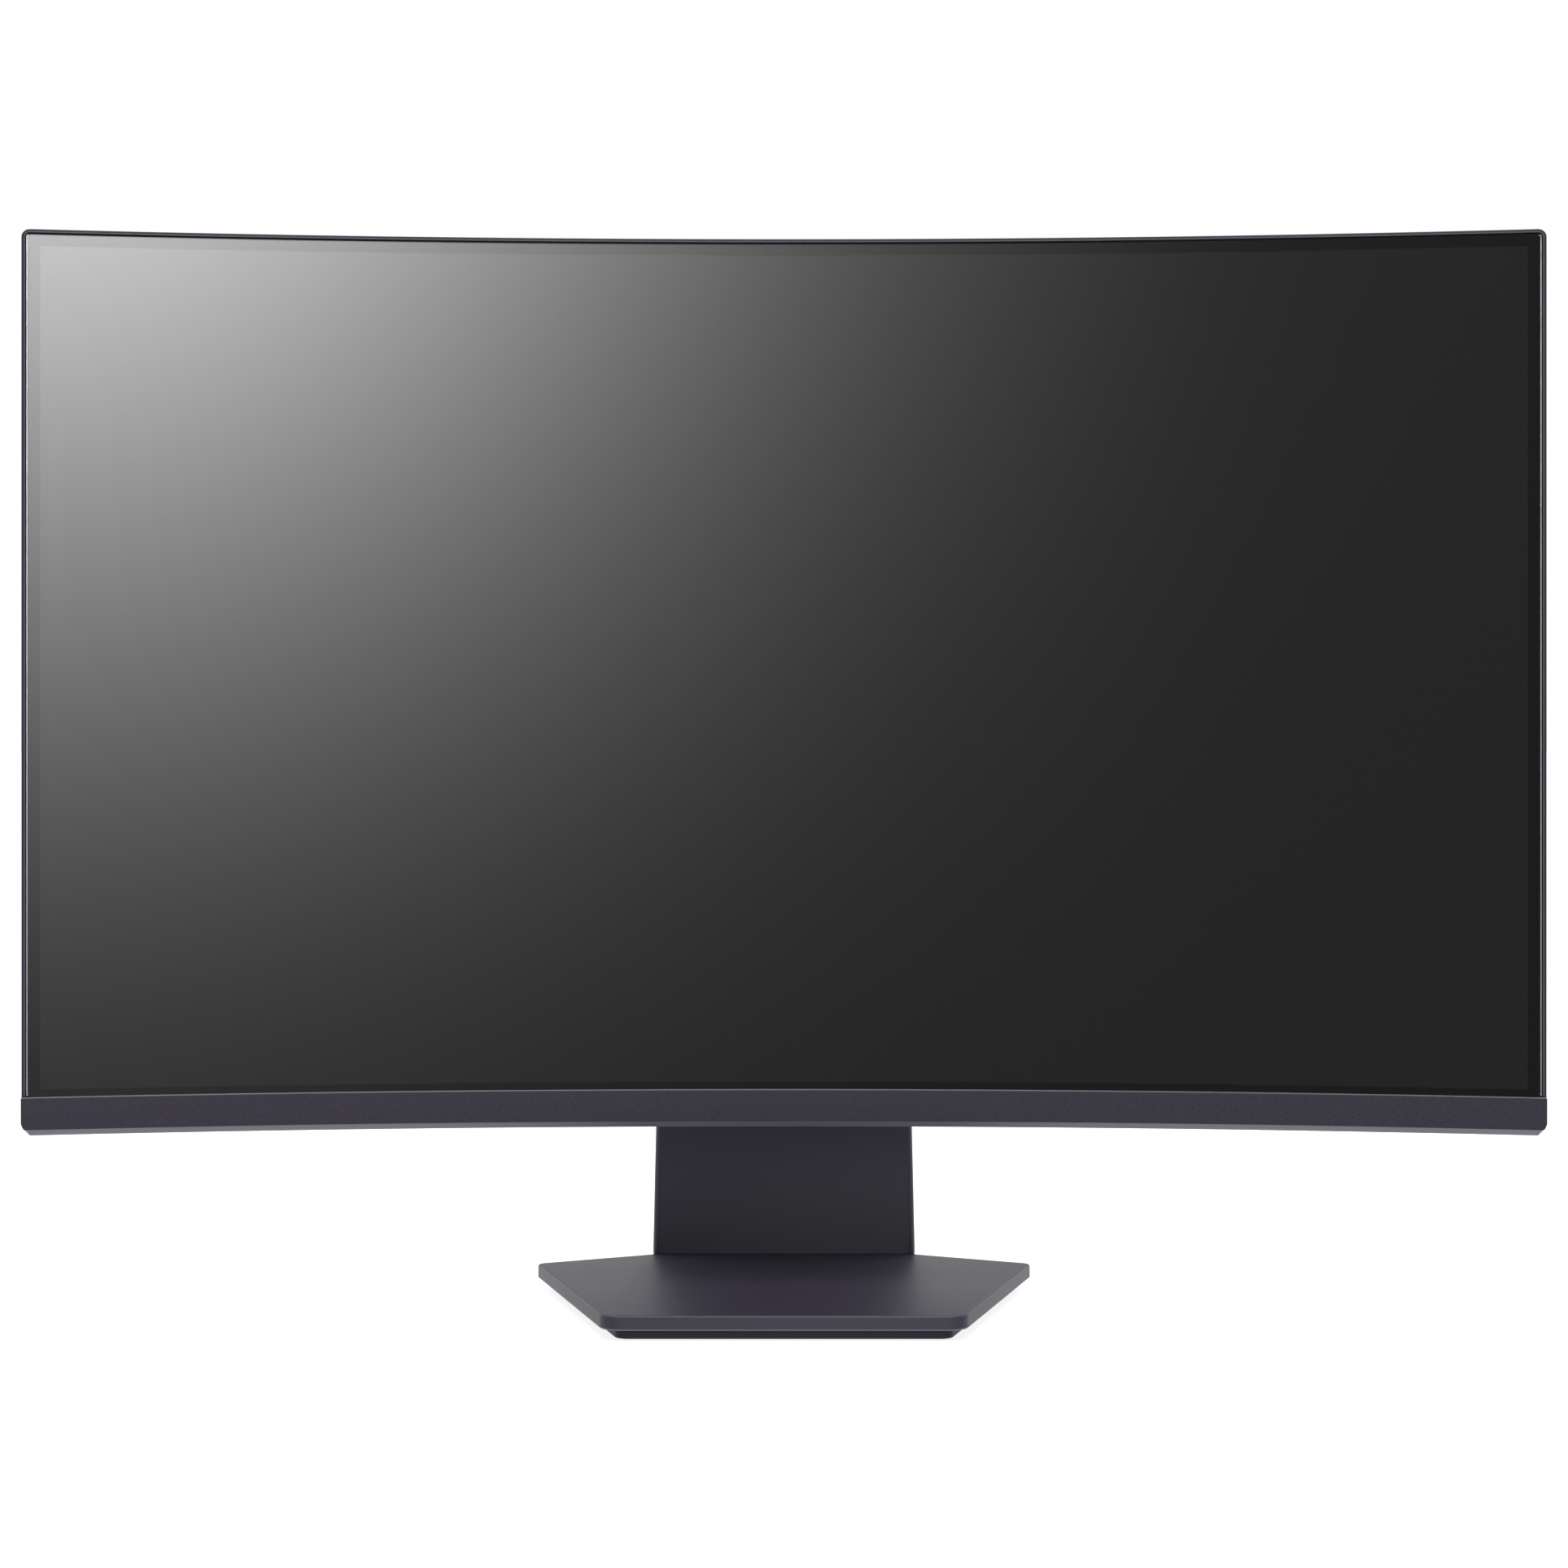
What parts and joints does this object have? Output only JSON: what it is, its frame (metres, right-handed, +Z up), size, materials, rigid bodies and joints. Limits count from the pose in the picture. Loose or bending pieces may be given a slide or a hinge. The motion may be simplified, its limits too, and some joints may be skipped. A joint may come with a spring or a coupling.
{
  "type": "monitor",
  "caption": "Curved widescreen desktop monitor in dark violet-grey plastic that tilts on a flat tapering neck and a low hexagonal base",
  "frame": {"origin": "centre of the footprint, at the underside of the foot pads", "axes": "+X to the right of a person facing the screen, +Y from the screen to the back, +Z up"},
  "size_m": [0.716, 0.2302, 0.5093],
  "materials": {
    "dark_plastic": "fine textured moulding, dark violet grey",
    "black_plastic": "black moulding",
    "white_plastic": "white moulding or film",
    "clear_acrylic": "clear sheet",
    "screen_glass": "dark anti-glare screen, off",
    "plated_steel": "zinc plated steel",
    "sheet_steel": "galvanised sheet",
    "circuit_board": "green solder mask",
    "ribbon_film": "pale flexible film",
    "foot_rubber": "matt black rubber"
  },
  "bodies": {
    "stand": {"hinge_bracket": "plated_steel", "bracket_screw_1": "plated_steel", "bracket_screw_2": "plated_steel", "bracket_screw_3": "plated_steel", "bracket_screw_4": "plated_steel", "hinge_shaft": "plated_steel", "disc_spring_1": "plated_steel", "disc_spring_2": "plated_steel", "hinge_nut": "plated_steel", "hinge_shroud": "dark_plastic", "neck_front_cover": "dark_plastic", "neck_rear_cover": "dark_plastic", "neck_steel_core": "sheet_steel", "neck_foot_block": "plated_steel", "cable_clip": "dark_plastic", "base_cover": "dark_plastic", "base_steel_plate": "plated_steel", "base_tray": "dark_plastic", "foot_pad_1": "foot_rubber", "foot_pad_2": "foot_rubber", "foot_pad_3": "foot_rubber", "foot_pad_4": "foot_rubber", "foot_pad_5": "foot_rubber", "foot_pad_6": "foot_rubber"},
    "display": {"front_frame": "dark_plastic", "chin": "dark_plastic", "lcd_panel": "screen_glass", "optical_films": "white_plastic", "light_guide": "clear_acrylic", "reflector_sheet": "white_plastic", "led_bar": "white_plastic", "panel_moulding": "white_plastic", "panel_tray": "sheet_steel", "rear_cover": "dark_plastic", "vent_grille": "black_plastic", "vesa_bracket": "sheet_steel", "tilt_plate": "plated_steel", "stand_screw_1": "plated_steel", "stand_screw_2": "plated_steel", "stand_screw_3": "plated_steel", "stand_screw_4": "plated_steel", "main_board": "circuit_board", "board_shield": "sheet_steel", "power_board": "circuit_board", "timing_board": "circuit_board", "joystick_board": "circuit_board", "flat_flex_cable": "ribbon_film", "io_panel": "sheet_steel", "hdmi_port_1": "plated_steel", "hdmi_port_2": "plated_steel", "displayport": "plated_steel", "dc_inlet": "black_plastic", "headphone_jack": "black_plastic", "joystick_housing": "black_plastic"},
    "gimbal": {"joystick_gimbal": "white_plastic"},
    "stick": {"joystick_stick": "black_plastic"},
    "cap": {"joystick_cap": "black_plastic"},
    "screw": {"thumb_screw": "plated_steel"},
    "ring": {"thumb_ring": "plated_steel"}
  },
  "joints": [
    {"name": "display_tilt", "type": "hinge", "parent": "stand", "child": "display", "pos_m": [0, 0.04485, 0.2985], "axis": [-1, 0, 0], "range_deg": [-5, 15]},
    {"name": "joystick_rock", "type": "hinge", "parent": "display", "child": "gimbal", "pos_m": [0.29131, -0.04267, 0.1515], "axis": [0.987, -0.1604, 0], "range_deg": [-8, 8], "stiffness_Nm_per_rad": 0.03},
    {"name": "joystick_sway", "type": "hinge", "parent": "gimbal", "child": "stick", "pos_m": [0.29131, -0.04267, 0.1515], "axis": [0, 0, 1], "range_deg": [-8, 8], "stiffness_Nm_per_rad": 0.03},
    {"name": "joystick_press", "type": "slide", "parent": "stick", "child": "cap", "axis": [-0.1604, -0.987, 0], "range_m": [0, 0.0008], "stiffness_N_per_m": 800, "springref_m": -0.001},
    {"name": "thumb_screw_turn", "type": "hinge", "parent": "stand", "child": "screw", "pos_m": [0, 0.06715, 0.0015], "axis": [0, 0, 1], "continuous": true},
    {"name": "thumb_ring_fold", "type": "hinge", "parent": "screw", "child": "ring", "pos_m": [0, 0.06715, 0.0035], "axis": [1, 0, 0], "range_deg": [0, 90]}
  ]
}
